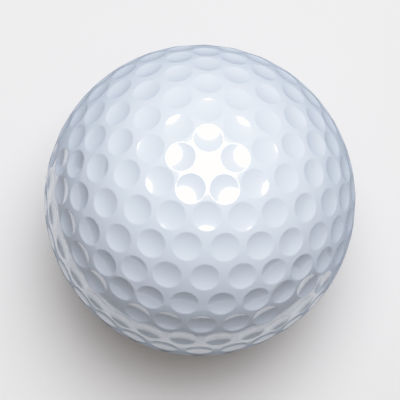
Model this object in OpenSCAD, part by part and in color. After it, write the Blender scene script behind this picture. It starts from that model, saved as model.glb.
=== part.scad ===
// Golf ball of five layers, around a solid centre.
// Every layer outside the centre is moulded as two half cups that meet on the equator.
// The origin is the ball's centre and +Z is a five-fold axis of the dimple pattern.

/* [Ball] */
// Diameter over the land between the dimples
ball_d = 42.67; // [42.67:0.01:43]

/* [Layers] */
// Diameter of the soft centre
inner_core_d = 25; // [20:0.5:30]
// Diameter over the outer core
outer_core_d = 37.2; // [36:0.1:37.4]
// Wall of the inner mantle
inner_mantle_t = 0.9; // [0.7:0.05:0.95]
// Wall of the outer mantle
outer_mantle_t = 1; // [0.7:0.05:1.05]

/* [Dimples] */
// Diameter of a full-size dimple at its rim
dimple_d = 3.6; // [3.1:0.05:3.7]
// Depth of a full-size dimple below the plane of its rim
dimple_depth = 0.22; // [0.16:0.01:0.32]
// Diameter of the small dimple on each pole
pole_dimple_d = 2.9; // [2.5:0.05:3]

/* [Parting line] */
// Diameter of the round tabs that carry every second dimple of the equator row
tab_d = 4.1; // [3.9:0.05:4.3]

/* [Hidden] */

ball_r = ball_d / 2;
inner_mantle_d = outer_core_d + 2 * inner_mantle_t;
outer_mantle_d = inner_mantle_d + 2 * outer_mantle_t;

// The equator row, in steps of one dimple, and the height below which a centre counts as on it
equator_dimples = 30;
on_equator = 0.01;

// The cutters stand this far clear of the ball and of the rim that they make
clearance = 0.1;
// The half-space cutter reaches this far past the ball, and the tab cutters half as far
reach = 2;

UPPER = 1;
LOWER = -1;

$fn = 200;
dimple_fn = 60;

// The dimple centres are those of an icosahedron with this many steps along each edge
edge_steps = 6;
// Height and azimuth of the two rings of five corners between the poles
ring_z = 1 / sqrt(5);
ring_r = 2 / sqrt(5);
corner_turn = 72;
first_corner = 90;

top_corner = [0, 0, 1];
bottom_corner = [0, 0, -1];

function upper_corner(k) =
    let (a = first_corner + corner_turn * k)
    [ring_r * cos(a), ring_r * sin(a), ring_z];

function lower_corner(k) =
    let (a = first_corner + corner_turn * (k + 1 / 2))
    [ring_r * cos(a), ring_r * sin(a), -ring_z];

// Two faces of the icosahedron that share the edge p-q make one lozenge o, p, s, q.
// Step i runs from o to p and step j from o to q.
function lozenge_point(o, p, q, s, i, j) =
    i + j <= edge_steps
        ? o * (edge_steps - i - j) + p * i + q * j
        : s * (i + j - edge_steps) + q * (edge_steps - i) + p * (edge_steps - j);

// Each lozenge owns the points of two of its edges, so no point comes twice.
// Corner p stays smooth land, with no dimple.
function lozenge_centres(o, p, q, s) = [
    for (i = [1:edge_steps], j = [0:edge_steps - 1])
        if (!(i == edge_steps && j == 0))
            lozenge_point(o, p, q, s, i, j)
];

field_centres = [
    for (k = [0:4])
        each concat(
            lozenge_centres(top_corner, upper_corner(k), upper_corner(k + 1), lower_corner(k)),
            lozenge_centres(upper_corner(k + 1), lower_corner(k), lower_corner(k + 1), bottom_corner)
        )
];

function unit(v) = v / norm(v);
function azimuth(v) = atan2(v.y, v.x);
function is_on_equator(v) = abs(unit(v).z) < on_equator;

// Every second dimple of the equator row belongs to the upper half
function equator_side(v) =
    let (place = floor((azimuth(v) - first_corner) * equator_dimples / 360))
    (place + equator_dimples) % 2 == 0 ? UPPER : LOWER;

function side_of(v) = is_on_equator(v) ? equator_side(v) : sign(v.z);

function half_centres(side) = [for (v = field_centres) if (side_of(v) == side) v];
function tab_centres(side) = [for (v = half_centres(side)) if (is_on_equator(v)) v];

// Every bowl has this radius, so the smaller dimples are shallower too
bowl_r = (pow(dimple_d / 2, 2) + pow(dimple_depth, 2)) / (2 * dimple_depth);
// Height above the ball's centre of the centre of a bowl whose rim has diameter d
function bowl_centre(d) = sqrt(pow(ball_r, 2) - pow(d / 2, 2)) + sqrt(pow(bowl_r, 2) - pow(d / 2, 2));

// Turns the z axis to direction v
module point_at(v) {
    rotate([0, acos(unit(v).z), azimuth(v)])
        children();
}

// A round plug with a spherical bottom, which cuts one dimple at the top of the ball
module dimple_cutter(d) {
    plug_bottom = bowl_centre(d) - bowl_r - clearance;
    plug_top = ball_r + clearance;
    intersection() {
        translate([0, 0, bowl_centre(d)])
            sphere(r = bowl_r, $fn = dimple_fn * 2);
        translate([0, 0, plug_bottom])
            cylinder(d = d + clearance, h = plug_top - plug_bottom, $fn = dimple_fn);
    }
}

module dimple_cutters(side) {
    point_at([0, 0, side])
        dimple_cutter(pole_dimple_d);
    for (v = half_centres(side))
        point_at(v)
            dimple_cutter(dimple_d);
}

// Everything on one side of the equator plane
module half_space(side) {
    height = ball_r + reach;
    translate([0, 0, side == UPPER ? 0 : -height])
        cylinder(r = height, h = height);
}

// Radial plugs around the equator dimples that belong to one half
module tabs(side) {
    tab_bottom = outer_core_d / 2;
    tab_top = ball_r + reach / 2;
    for (v = tab_centres(side))
        point_at(v)
            translate([0, 0, tab_bottom])
                cylinder(d = tab_d, h = tab_top - tab_bottom, $fn = dimple_fn);
}

// One half cup of a layer, cut flat on the equator
module half_cup(outer_d, inner_d, side) {
    difference() {
        sphere(d = outer_d);
        sphere(d = inner_d);
        half_space(-side);
    }
}

// The smooth cover, before it is parted and dimpled
module cover_shell() {
    difference() {
        sphere(d = ball_d);
        sphere(d = outer_mantle_d);
    }
}

// The smooth shell on one side of the equator, with the tabs of that side still on it
module tabbed_shell(side) {
    difference() {
        cover_shell();
        difference() {
            half_space(-side);
            tabs(side);
        }
    }
}

// One smooth half, with room for the other half's tabs
module parted_shell(side) {
    difference() {
        tabbed_shell(side);
        tabs(-side);
    }
}

// One half of the cover. Its edge runs round the equator dimples, so none of them is cut
module cover_half(side) {
    difference() {
        parted_shell(side);
        dimple_cutters(side);
    }
}

module inner_core() {
    color("deepskyblue")
        sphere(d = inner_core_d);
}

module outer_core_upper() {
    color("darkseagreen")
        half_cup(outer_core_d, inner_core_d, UPPER);
}

module outer_core_lower() {
    color("darkseagreen")
        half_cup(outer_core_d, inner_core_d, LOWER);
}

module inner_mantle_upper() {
    color("lightgoldenrodyellow")
        half_cup(inner_mantle_d, outer_core_d, UPPER);
}

module inner_mantle_lower() {
    color("lightgoldenrodyellow")
        half_cup(inner_mantle_d, outer_core_d, LOWER);
}

module outer_mantle_upper() {
    color("gainsboro")
        half_cup(outer_mantle_d, inner_mantle_d, UPPER);
}

module outer_mantle_lower() {
    color("gainsboro")
        half_cup(outer_mantle_d, inner_mantle_d, LOWER);
}

module cover_upper() {
    color("aliceblue")
        cover_half(UPPER);
}

module cover_lower() {
    color("aliceblue")
        cover_half(LOWER);
}

inner_core();
outer_core_upper();
outer_core_lower();
inner_mantle_upper();
inner_mantle_lower();
outer_mantle_upper();
outer_mantle_lower();
cover_upper();
cover_lower();
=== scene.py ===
"""A glossy white golf ball on a pale studio floor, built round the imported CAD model.

The two cover halves are rebuilt here as fine meshes with rounded dimple rims. Every dimple has a
cell of its own, and rings of quads run from the bottom of the bowl over the rim to the cell's edge.
The sealed inner layers stay the CAD's own solids and get their materials.
"""

import math
from typing import NamedTuple

import bpy
import numpy as np
from mathutils import Matrix, Vector


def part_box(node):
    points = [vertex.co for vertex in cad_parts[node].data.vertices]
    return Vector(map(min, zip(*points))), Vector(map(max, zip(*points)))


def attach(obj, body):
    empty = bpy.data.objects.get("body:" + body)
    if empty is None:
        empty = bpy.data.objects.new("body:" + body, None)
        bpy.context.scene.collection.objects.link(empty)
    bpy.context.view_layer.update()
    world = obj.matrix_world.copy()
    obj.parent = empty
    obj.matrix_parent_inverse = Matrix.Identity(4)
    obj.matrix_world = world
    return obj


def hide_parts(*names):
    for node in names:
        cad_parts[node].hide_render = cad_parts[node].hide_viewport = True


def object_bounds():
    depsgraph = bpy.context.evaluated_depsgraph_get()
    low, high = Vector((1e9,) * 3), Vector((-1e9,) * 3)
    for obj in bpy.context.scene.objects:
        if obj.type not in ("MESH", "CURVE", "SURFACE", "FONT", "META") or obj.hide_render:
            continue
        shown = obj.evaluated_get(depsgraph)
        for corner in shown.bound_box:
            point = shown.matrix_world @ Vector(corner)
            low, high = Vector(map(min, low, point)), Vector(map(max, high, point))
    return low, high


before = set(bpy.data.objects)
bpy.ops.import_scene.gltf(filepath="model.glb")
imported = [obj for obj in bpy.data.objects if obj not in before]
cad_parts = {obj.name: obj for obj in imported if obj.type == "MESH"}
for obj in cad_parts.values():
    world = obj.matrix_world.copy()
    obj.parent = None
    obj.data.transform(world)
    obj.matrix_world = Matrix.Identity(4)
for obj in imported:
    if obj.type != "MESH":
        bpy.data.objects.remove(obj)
cad_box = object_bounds()

MM = 0.001
BODY = "root"

# ---------------------------------------------------------------- driving dimensions

# Radius over the land. The Y axis passes between two dimples, and the others pass through dimples
BALL_R = cad_box[1][1]
# Radius of the cover's inside
INNER_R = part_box("outer_mantle_upper")[1][2]
FLOOR_Z = cad_box[0][2]

DIMPLE_R = 1.8 * MM
POLE_DIMPLE_R = 1.45 * MM
# Depth of a full-size dimple below the plane of its rim
DIMPLE_DEPTH = 0.22 * MM
# All bowls have this radius, so the pole dimples are shallower too
BOWL_R = (DIMPLE_R**2 + DIMPLE_DEPTH**2) / (2 * DIMPLE_DEPTH)
RIM_FILLET_R = 0.7 * MM
# Radius of the tabs that carry every second equator dimple across the parting line
TAB_R = 2.05 * MM

# Steps along each edge of the icosahedron, and the azimuths of its corners on the upper ring
EDGE_STEPS = 6
FIRST_CORNER = math.radians(90)
CORNER_TURN = math.radians(72)

# The equator row, and the height on the unit sphere below which a point counts as on it
EQUATOR_DIMPLES = 30
ON_EQUATOR = 0.01

# Mesh density: segments along half a cell side, and rings in a bowl and in a rim
HALF_SIDE_SEGMENTS = 4
BOWL_RINGS = 5
RIM_RINGS = 4

# The land round a corner with no dimple takes up this much of the space between its neighbours
BARE_CORNER_R = 1.1 * MM

UPPER, LOWER = 1, -1


# ---------------------------------------------------------------- dimple pattern


def unit(v):
    return v / np.linalg.norm(v, axis=-1, keepdims=True)


def place_key(direction):
    """The same for two directions that differ only by rounding."""
    return tuple(np.round(direction, 7) + 0.0)


def ring_corner(azimuth, side):
    """A corner of the icosahedron on the upper or lower ring, with corners on the poles too."""
    height = 1 / math.sqrt(5)
    radius = 2 / math.sqrt(5)
    return np.array([radius * math.cos(azimuth), radius * math.sin(azimuth), side * height])


def icosahedron():
    """Its 12 corners, poles first, and its 20 faces."""
    azimuths = [FIRST_CORNER + CORNER_TURN * k for k in range(5)]
    corners = [np.array([0, 0, 1.0]), np.array([0, 0, -1.0])]
    corners += [ring_corner(a, UPPER) for a in azimuths]
    corners += [ring_corner(a + CORNER_TURN / 2, LOWER) for a in azimuths]
    faces = []
    for k in range(5):
        n = (k + 1) % 5
        faces += [
            (0, 2 + k, 2 + n),
            (2 + k, 7 + k, 2 + n),
            (2 + n, 7 + k, 7 + n),
            (7 + k, 1, 7 + n),
        ]
    return corners, faces


def pattern():
    """The lattice on the unit sphere: its points, its small triangles, its poles and its bare corners."""
    corners, faces = icosahedron()
    points, triangles, index = [], [], {}

    def place(face, i, j):
        a, b, c = (corners[n] for n in face)
        point = unit((a * (EDGE_STEPS - i - j) + b * i + c * j) / EDGE_STEPS)
        key = place_key(point)
        if key not in index:
            index[key] = len(points)
            points.append(point)
        return index[key]

    for face in faces:
        for i in range(EDGE_STEPS):
            for j in range(EDGE_STEPS - i):
                triangles.append((place(face, i, j), place(face, i + 1, j), place(face, i, j + 1)))
                if i + j < EDGE_STEPS - 1:
                    triangles.append(
                        (place(face, i + 1, j), place(face, i + 1, j + 1), place(face, i, j + 1))
                    )
    poles = {index[place_key(c)] for c in corners[:2]}
    bare = {index[place_key(c)] for c in corners[2:]}
    return points, triangles, poles, bare


def land_section(angle):
    """The section of smooth land, in the form that Bowl.section has."""
    return BALL_R, math.sin(angle), math.cos(angle)


class Bowl:
    """The section of one dimple: a spherical bowl, a rounded rim, and the ball's land."""

    def __init__(self, rim_r):
        self.height = math.sqrt(BALL_R**2 - rim_r**2) + math.sqrt(BOWL_R**2 - rim_r**2)
        # The rim's circle touches the land from inside and the bowl from outside
        reach = BALL_R - RIM_FILLET_R
        span = BOWL_R + RIM_FILLET_R
        along = (reach**2 - span**2 + self.height**2) / (2 * self.height)
        self.fillet = (math.sqrt(reach**2 - along**2), along)
        self.outer = math.atan2(*self.fillet)
        share = BOWL_R / span
        self.inner = math.atan2(
            self.fillet[0] * share, self.height + (self.fillet[1] - self.height) * share
        )

    def section(self, angle):
        """At this angle from the axis: the radius, and the outward normal across and along the axis."""
        across, along = math.sin(angle), math.cos(angle)
        if angle >= self.outer:
            return land_section(angle)
        if angle <= self.inner:
            r = self.height * along - math.sqrt(BOWL_R**2 - (self.height * across) ** 2)
            return r, -r * across / BOWL_R, (self.height - r * along) / BOWL_R
        fx, fz = self.fillet
        dot = fx * across + fz * along
        r = dot + math.sqrt(RIM_FILLET_R**2 - (fx**2 + fz**2 - dot**2))
        return r, (r * across - fx) / RIM_FILLET_R, (r * along - fz) / RIM_FILLET_R

    def ring_angles(self):
        bowl = [self.inner * k / BOWL_RINGS for k in range(1, BOWL_RINGS + 1)]
        width = self.outer - self.inner
        return bowl + [self.inner + width * k / RIM_RINGS for k in range(1, RIM_RINGS + 1)]


# ---------------------------------------------------------------- cells


def cell_sides(points, triangles, reach):
    """For each lattice point, its cell's corners and the middles of its sides, in turn.

    Each side lies in the plane where two neighbouring circles have equal power, so no side cuts
    a dimple, whatever its size."""
    weighted = [p / math.cos(a) for p, a in zip(points, reach)]

    def corner(triangle):
        a, b, c = (weighted[n] for n in triangle)
        x = unit(np.cross(a - b, a - c))
        return x if x @ points[triangle[0]] > 0 else -x

    def middle(m, n):
        w = weighted[m] - weighted[n]
        return unit(-(points[n] @ w) * points[m] + (points[m] @ w) * points[n])

    around = [[] for _ in points]
    for triangle in triangles:
        place = corner(triangle)
        for turn in range(3):
            m, n, o = (triangle[(turn + k) % 3] for k in range(3))
            around[m].append((n, o, place))
    sides = []
    for m, fans in enumerate(around):
        by_first = {fan[0]: fan for fan in fans}
        fan = fans[0]
        corners, middles = [], []
        for _ in fans:
            corners.append(fan[2])
            middles.append(middle(m, fan[1]))
            fan = by_first[fan[1]]
        sides.append((corners, middles))
    return sides


def cell_outline(corners, middles):
    """The edge of a cell: from corner to corner, through the middle of the gap to each neighbour."""
    outline = []
    for k, (start, middle) in enumerate(zip(corners, middles)):
        end = corners[(k + 1) % len(corners)]
        for a, b in ((start, middle), (middle, end)):
            for step in range(HALF_SIDE_SEGMENTS):
                t = step / HALF_SIDE_SEGMENTS
                outline.append(unit(a * (1 - t) + b * t))
    return np.array(outline)


def equator_side(point):
    """Every second dimple of the equator row belongs to the upper half."""
    turn = math.atan2(point[1], point[0]) - FIRST_CORNER
    place = math.floor(turn * EQUATOR_DIMPLES / (2 * math.pi))
    return UPPER if place % 2 == 0 else LOWER


class Surface:
    """A mesh in the making, in which points with the same key are one."""

    def __init__(self):
        self.index, self.points, self.normals, self.faces = {}, [], [], []

    def add_point(self, key, point, normal):
        if key not in self.index:
            self.index[key] = len(self.points)
            self.points.append(point)
            self.normals.append(normal)
        return self.index[key]

    def add_face(self, corners):
        """A face with these corners, each a (key, point, normal)."""
        self.faces.append(tuple(self.add_point(*corner) for corner in corners))


class Ring(NamedTuple):
    """A ring of points round a cell's centre, at this angle from it, or along the outline if None.

    The normal has the parts across and along the cell's axis, and is radial on the outline."""

    angle: float | None
    radius: float
    across: float = 0.0
    along: float = 1.0


class Cell:
    """The part of the ball round one lattice point, as far as its neighbours' cells."""

    def __init__(self, number, centre, outline):
        self.number, self.centre, self.outline = number, centre, outline
        self.tangents = unit(outline - np.outer(outline @ centre, centre))
        self.on_equator = abs(centre[2]) < ON_EQUATOR
        self.side = UPPER if centre[2] > 0 else LOWER
        if self.on_equator:
            self.side = equator_side(centre)

    def outer_rings(self, bowl):
        """The rings on the ball's surface, from the centre outwards."""
        edge = math.acos(min(1, (self.outline @ self.centre).max()))
        angles = bowl.ring_angles() if bowl else [edge / 3, edge * 2 / 3]
        land = math.asin(TAB_R / BALL_R) if self.on_equator else (angles[-1] + edge) / 2
        section = bowl.section if bowl else land_section
        return [Ring(a, *section(a)) for a in angles + [land]] + [Ring(None, BALL_R)]

    def inner_rings(self):
        """The rings on the cover's inside: the tab's edge, if there is a tab, and the outline."""
        tab = math.asin(TAB_R / INNER_R)
        rings = [Ring(tab, INNER_R, math.sin(tab), math.cos(tab))] if self.on_equator else []
        return rings + [Ring(None, INNER_R)]

    def ring_points(self, number, ring):
        """The key, point and normal of each point of a ring."""
        if ring.angle is None:
            return [(place_key(d), d * ring.radius, d) for d in self.outline]
        directions = self.centre * math.cos(ring.angle) + self.tangents * math.sin(ring.angle)
        normals = self.centre * ring.along + self.tangents * ring.across
        return [
            ((self.number, number, k), direction * ring.radius, normal)
            for k, (direction, normal) in enumerate(zip(directions, normals))
        ]

    def build(self, surfaces, centre_radius, rings):
        """Adds a fan round the centre and quads from ring to ring to the halves' surfaces.

        The rings count back from -1, the outline. On the equator the quads between the last two
        lie round the tab, and each goes to the half on its own side of the equator."""
        centre = ((self.number, "centre"), self.centre * centre_radius, self.centre)
        count = len(self.outline)
        previous = None
        for number, ring in enumerate(rings, start=-len(rings)):
            points = self.ring_points(number, ring)
            for k in range(count):
                n = (k + 1) % count
                side = self.side
                if self.on_equator and number == -1:
                    side = UPPER if self.tangents[k][2] + self.tangents[n][2] > 0 else LOWER
                if previous is None:
                    corners = (centre, points[k], points[n])
                else:
                    corners = (previous[k], points[k], points[n], previous[n])
                surfaces[side].add_face(corners)
            previous = points


# ---------------------------------------------------------------- cover meshes


def cover_surfaces():
    """The outer and inner surfaces of the cover, each as a map from side to surface."""
    points, triangles, poles, bare = pattern()
    field_bowl, pole_bowl = Bowl(DIMPLE_R), Bowl(POLE_DIMPLE_R)
    bowls = [
        None if n in bare else pole_bowl if n in poles else field_bowl for n in range(len(points))
    ]
    reach = [bowl.outer if bowl else BARE_CORNER_R / BALL_R for bowl in bowls]
    outer = {UPPER: Surface(), LOWER: Surface()}
    inner = {UPPER: Surface(), LOWER: Surface()}
    sides = cell_sides(points, triangles, reach)
    for number, (point, bowl, (corners, middles)) in enumerate(zip(points, bowls, sides)):
        cell = Cell(number, point, cell_outline(corners, middles))
        bottom = bowl.section(0)[0] if bowl else BALL_R
        cell.build(outer, bottom, cell.outer_rings(bowl))
        cell.build(inner, INNER_R, cell.inner_rings())
    return outer, inner


def rim_edges(surface):
    """The edges that only one face has, in that face's direction."""
    edges = dict.fromkeys(
        (a, b) for face in surface.faces for a, b in zip(face, face[1:] + face[:1])
    )
    return [(a, b) for a, b in edges if (b, a) not in edges]


def cover_object(name, outer, inner):
    """One closed half of the cover, with the exact normals of its smooth surfaces."""
    points = outer.points + inner.points
    offset = len(outer.points)
    faces = list(outer.faces)
    corner_normals = [outer.normals[v] for face in outer.faces for v in face]
    for face in inner.faces:
        turned = face[::-1]
        faces.append(tuple(v + offset for v in turned))
        corner_normals += [-inner.normals[v] for v in turned]
    # A wall along the parting line joins the points that have the same key on both surfaces
    keys = {v: key for key, v in outer.index.items()}
    for a, b in rim_edges(outer):
        c, d = (inner.index[keys[v]] + offset for v in (b, a))
        wall = (b, a, d, c)
        faces.append(wall)
        p, q, r = (points[v] for v in wall[:3])
        corner_normals += [unit(np.cross(q - p, r - q))] * 4
    mesh = bpy.data.meshes.new(name)
    mesh.from_pydata([tuple(p) for p in points], [], faces)
    mesh.polygons.foreach_set("use_smooth", [True] * len(mesh.polygons))
    mesh.normals_split_custom_set([tuple(n) for n in corner_normals])
    mesh.update()
    piece = bpy.data.objects.new(name, mesh)
    bpy.context.scene.collection.objects.link(piece)
    return piece


# ---------------------------------------------------------------- materials

# Noise stays mostly between these two values, so ramps run from one to the other
NOISE_LOW = 0.3
NOISE_HIGH = 0.7


class Nodes:
    """Short calls that add and link the nodes of one material."""

    def __init__(self, name):
        self.material = bpy.data.materials.new(name)
        self.material.use_nodes = True
        self.tree = self.material.node_tree
        self.shader = self.tree.nodes["Principled BSDF"]
        self.place = self.tree.nodes.new("ShaderNodeTexCoord").outputs["Object"]

    def set(self, **values):
        """Values that are the same all over the surface."""
        for key, value in values.items():
            self.shader.inputs[key.replace("_", " ")].default_value = value

    def noise(self, size, detail=2.0):
        """Noise whose cells are about this size, in metres."""
        node = self.tree.nodes.new("ShaderNodeTexNoise")
        node.inputs["Scale"].default_value = 1 / size
        node.inputs["Detail"].default_value = detail
        self.tree.links.new(self.place, node.inputs["Vector"])
        return node.outputs["Fac"]

    def colour(self, noise, dark, light):
        """A base colour that drifts between two tones."""
        node = self.tree.nodes.new("ShaderNodeValToRGB")
        node.color_ramp.elements[0].position = NOISE_LOW
        node.color_ramp.elements[1].position = NOISE_HIGH
        node.color_ramp.elements[0].color = (*dark, 1)
        node.color_ramp.elements[1].color = (*light, 1)
        self.tree.links.new(noise, node.inputs["Fac"])
        self.tree.links.new(node.outputs["Color"], self.shader.inputs["Base Color"])

    def roughness(self, noise, low, high):
        """A roughness that drifts between two values."""
        node = self.tree.nodes.new("ShaderNodeMapRange")
        node.inputs["From Min"].default_value = NOISE_LOW
        node.inputs["From Max"].default_value = NOISE_HIGH
        node.inputs["To Min"].default_value = low
        node.inputs["To Max"].default_value = high
        self.tree.links.new(noise, node.inputs["Value"])
        self.tree.links.new(node.outputs["Result"], self.shader.inputs["Roughness"])

    def bump(self, noise, height):
        node = self.tree.nodes.new("ShaderNodeBump")
        node.inputs["Distance"].default_value = height
        self.tree.links.new(noise, node.inputs["Height"])
        self.tree.links.new(node.outputs["Normal"], self.shader.inputs["Normal"])


def cover_material():
    """White urethane under paint and a glossy clear coat."""
    m = Nodes("cover_white")
    m.colour(m.noise(6 * MM), (0.70, 0.77, 0.865), (0.72, 0.79, 0.885))
    m.roughness(m.noise(2.5 * MM), 0.28, 0.34)
    m.set(IOR=1.5, Coat_Weight=1.0, Coat_Roughness=0.07, Coat_IOR=1.9)
    m.bump(m.noise(1.2 * MM), 0.002 * MM)
    return m.material


def rubber_material(name, dark, light):
    """Moulded rubber with fine filler specks."""
    m = Nodes(name)
    m.colour(m.noise(0.6 * MM, detail=6), dark, light)
    m.roughness(m.noise(1.5 * MM), 0.5, 0.65)
    m.bump(m.noise(0.3 * MM), 0.01 * MM)
    return m.material


def ionomer_material(name, dark, light):
    """Moulded ionomer, satin and slightly cloudy."""
    m = Nodes(name)
    m.colour(m.noise(4 * MM, detail=3), dark, light)
    m.roughness(m.noise(2 * MM), 0.3, 0.42)
    m.set(Subsurface_Weight=0.1, Subsurface_Radius=(0.8 * MM, 0.8 * MM, 0.7 * MM))
    m.bump(m.noise(0.8 * MM), 0.004 * MM)
    return m.material


def matte_material(name, noise_size, dark, light):
    """A surface with no gloss at all, for the floor and for the cards whose tones are painted shade in
    the cover's reflections.
    """
    m = Nodes(name)
    m.colour(m.noise(noise_size), dark, light)
    m.set(Roughness=0.9, Specular_IOR_Level=0.0)
    return m.material


# ---------------------------------------------------------------- the ball


def build_cover():
    outer, inner = cover_surfaces()
    material = cover_material()
    for side, half in ((UPPER, "upper"), (LOWER, "lower")):
        piece = cover_object("cover_" + half + "_shell", outer[side], inner[side])
        piece.data.materials.append(material)
        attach(piece, BODY)
        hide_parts("cover_" + half)


def dress_layers():
    """The sealed layers stay the CAD's solids, with their own materials."""
    materials = {
        "inner_core": rubber_material("centre_rubber", (0.06, 0.33, 0.52), (0.13, 0.46, 0.66)),
        "outer_core": rubber_material("core_rubber", (0.34, 0.52, 0.39), (0.46, 0.64, 0.50)),
        "inner_mantle": ionomer_material("inner_ionomer", (0.82, 0.78, 0.62), (0.89, 0.86, 0.72)),
        "outer_mantle": ionomer_material("outer_ionomer", (0.80, 0.82, 0.84), (0.87, 0.89, 0.90)),
    }
    for name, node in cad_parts.items():
        for layer, material in materials.items():
            if name.startswith(layer):
                for slot in node.material_slots:
                    slot.material = material


# ---------------------------------------------------------------- studio

# The ball's centre is the origin. Lengths in this section are in ball radii.
CAMERA_AZIMUTH = math.radians(12.1)
CAMERA_ELEVATION = math.radians(78.5)
CAMERA_ROLL = math.radians(13.2)
CAMERA_DISTANCE = 7
CLIP_START = 0.1
# The ball's outline fills this share of the frame's width
OUTLINE_SHARE = 0.7775
SENSOR_MM = 36.0

# Directions in the studio turn with the camera: level and away from it, level and to its right, and up
AHEAD = Vector((math.sin(CAMERA_AZIMUTH), math.cos(CAMERA_AZIMUTH), 0))
ASIDE = Vector((math.cos(CAMERA_AZIMUTH), -math.sin(CAMERA_AZIMUTH), 0))
UP = Vector((0, 0, 1))

# The key lamp is a round panel. Its radiance is how bright it looks in a reflection
KEY_TILT_AHEAD = math.radians(13)
KEY_DISTANCE = 12
KEY_DIAMETER = 8.8
KEY_RADIANCE = 6.552
KEY_COLOUR = (0.923, 0.947, 1.0)

# The room is dim below and brightest straight along this direction, which is nearly overhead
ROOM_BRIGHT_SIDE = (AHEAD * 0.3 + ASIDE * 0.1 + UP).normalized()
ROOM_DIM = (0.46, 0.41, 0.37)
ROOM_BRIGHT = (1.0, 0.93, 0.86)
# Between these shares of the way from the dim side to the bright side, one turns into the other
ROOM_TURN = (0.48, 0.72)
ROOM_STRENGTH = 0.43

FLOOR_HALF_WIDTH = 60
FLOOR_TONES = ((0.85, 0.85, 0.852), (0.87, 0.87, 0.872))

# The cards lie this far over the floor. Their two sectors are in degrees from the camera's side
CARD_HEIGHT = 1 * MM / BALL_R
CARD_STEPS = 24
NEAR_SECTOR = (-98, 75)
FAR_SECTOR = (75, 262)
# Painted shade: these blue-grey and black card tones darken what the cover reflects of the floor, which
# is lit and pale there
REFLECTED_SHADE_TONES = ((0.38, 0.42, 0.48), (0.40, 0.44, 0.50))
REFLECTED_DARK_TONES = ((0.015, 0.015, 0.017), (0.02, 0.02, 0.022))

# The camera's response, from the light in the scene to the light in the picture, both linear
TONE_CURVE = [(0.2, 0.12), (0.4, 0.325), (0.6, 0.57), (0.8, 0.785), (1.0, 0.92), (1.4, 1.0)]
TONE_END = (1.5, 1.0)
# Place of the curve for all three channels among the four of a curve mapping
COMBINED_CURVE = 3


def aim(thing, position, roll=0.0):
    """Puts a camera or lamp at the position, looking at the ball's centre."""
    turn = (-position).to_track_quat("-Z", "Y").to_matrix().to_4x4()
    thing.matrix_world = Matrix.Translation(position) @ turn @ Matrix.Rotation(roll, 4, "Z")


def add_camera():
    camera = bpy.data.objects.new("camera", bpy.data.cameras.new("camera"))
    bpy.context.scene.collection.objects.link(camera)
    direction = UP * math.sin(CAMERA_ELEVATION) - AHEAD * math.cos(CAMERA_ELEVATION)
    aim(camera, direction * CAMERA_DISTANCE * BALL_R, CAMERA_ROLL)
    # A ball seen from this far has its outline at this tangent from the line of sight
    outline = 1 / math.sqrt(CAMERA_DISTANCE**2 - 1)
    camera.data.sensor_width = SENSOR_MM
    camera.data.lens = SENSOR_MM * OUTLINE_SHARE / (2 * outline)
    camera.data.clip_start = CLIP_START * BALL_R
    bpy.context.scene.camera = camera


def add_key():
    """A round lamp panel that faces the ball, nearly overhead."""
    data = bpy.data.lights.new("key", "AREA")
    data.shape = "DISK"
    data.size = KEY_DIAMETER * BALL_R
    data.energy = KEY_RADIANCE * math.pi * math.pi * (data.size / 2) ** 2
    data.color = KEY_COLOUR
    lamp = bpy.data.objects.new("key", data)
    bpy.context.scene.collection.objects.link(lamp)
    direction = (UP + AHEAD * math.tan(KEY_TILT_AHEAD)).normalized()
    aim(lamp, direction * KEY_DISTANCE * BALL_R)


def flat_sheet(name, outline, height):
    """A level sheet this far over the floor, with this outline of places ahead and aside."""
    mesh = bpy.data.meshes.new(name)
    level = UP * (FLOOR_Z + height * BALL_R)
    places = [(AHEAD * ahead + ASIDE * aside) * BALL_R + level for ahead, aside in outline]
    mesh.from_pydata([tuple(p) for p in places], [], [tuple(range(len(places)))])
    sheet = bpy.data.objects.new(name, mesh)
    bpy.context.scene.collection.objects.link(sheet)
    return sheet


def add_floor():
    w = FLOOR_HALF_WIDTH
    floor = flat_sheet("floor", [(w, w), (w, -w), (-w, -w), (-w, w)], 0)
    floor.data.materials.append(matte_material("floor_white", 80 * MM, *FLOOR_TONES))


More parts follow.
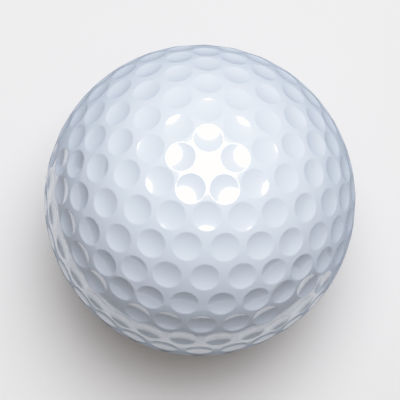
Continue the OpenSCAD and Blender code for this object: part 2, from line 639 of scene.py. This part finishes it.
def add_shade_reflection_card(name, near, far, sector, tones):
    """A card just over the floor, from a near to a far radius round the ball, over this sector.

    Only reflections show it, so the floor stays pale from every side. Its dark tone is painted shade,
    which the cover reflects in place of the lit floor."""
    first, last = (math.radians(angle) for angle in sector)
    turns = [first + (last - first) * k / CARD_STEPS for k in range(CARD_STEPS + 1)]
    inside = [(-near * math.cos(t), near * math.sin(t)) for t in turns]
    outside = [(-far * math.cos(t), far * math.sin(t)) for t in turns]
    card = flat_sheet(name, inside + outside[::-1], CARD_HEIGHT)
    card.data.materials.append(matte_material(name, 5 * MM, *tones))
    card.visible_camera = False
    card.visible_diffuse = False
    card.visible_shadow = False


def add_world():
    """A dim room, warmer than the key lamp and brightest nearly overhead."""
    world = bpy.data.worlds.new("studio")
    bpy.context.scene.world = world
    world.use_nodes = True
    tree = world.node_tree
    place = tree.nodes.new("ShaderNodeTexCoord")
    along = tree.nodes.new("ShaderNodeVectorMath")
    along.operation = "DOT_PRODUCT"
    along.inputs[1].default_value = ROOM_BRIGHT_SIDE
    share = tree.nodes.new("ShaderNodeMapRange")
    share.inputs["From Min"].default_value = -1
    share.inputs["From Max"].default_value = 1
    ramp = tree.nodes.new("ShaderNodeValToRGB")
    tones = zip(ramp.color_ramp.elements, ROOM_TURN, (ROOM_DIM, ROOM_BRIGHT))
    for element, position, colour in tones:
        element.position = position
        element.color = (*colour, 1)
    background = tree.nodes["Background"]
    background.inputs["Strength"].default_value = ROOM_STRENGTH
    tree.links.new(place.outputs["Generated"], along.inputs[0])
    tree.links.new(along.outputs["Value"], share.inputs["Value"])
    tree.links.new(share.outputs["Result"], ramp.inputs["Fac"])
    tree.links.new(ramp.outputs["Color"], background.inputs["Color"])


def set_tone():
    """A contrasty response with a soft shoulder, so that the highlights keep their shape."""
    view = bpy.context.scene.view_settings
    view.view_transform = "Standard"
    view.use_curve_mapping = True
    mapping = view.curve_mapping
    mapping.clip_max_x = TONE_END[0]
    curve = mapping.curves[COMBINED_CURVE]
    curve.points[-1].location = TONE_END
    for place in TONE_CURVE:
        curve.points.new(*place)
    mapping.update()


# ---------------------------------------------------------------- the scene

add_camera()
add_world()
add_floor()
# Painted shade in the cover's reflections: blue-grey near the ball and all round its far side, black
# beyond 2.7 radii on the camera's side
add_shade_reflection_card("far_painted_shade_card", near=0.6, far=14, sector=FAR_SECTOR, tones=REFLECTED_SHADE_TONES)
add_shade_reflection_card("near_painted_shade_card", near=0.6, far=1.6, sector=NEAR_SECTOR, tones=REFLECTED_SHADE_TONES)
add_shade_reflection_card("painted_dark_reflection_card", near=2.7, far=14, sector=NEAR_SECTOR, tones=REFLECTED_DARK_TONES)
add_key()
set_tone()
build_cover()
dress_layers()
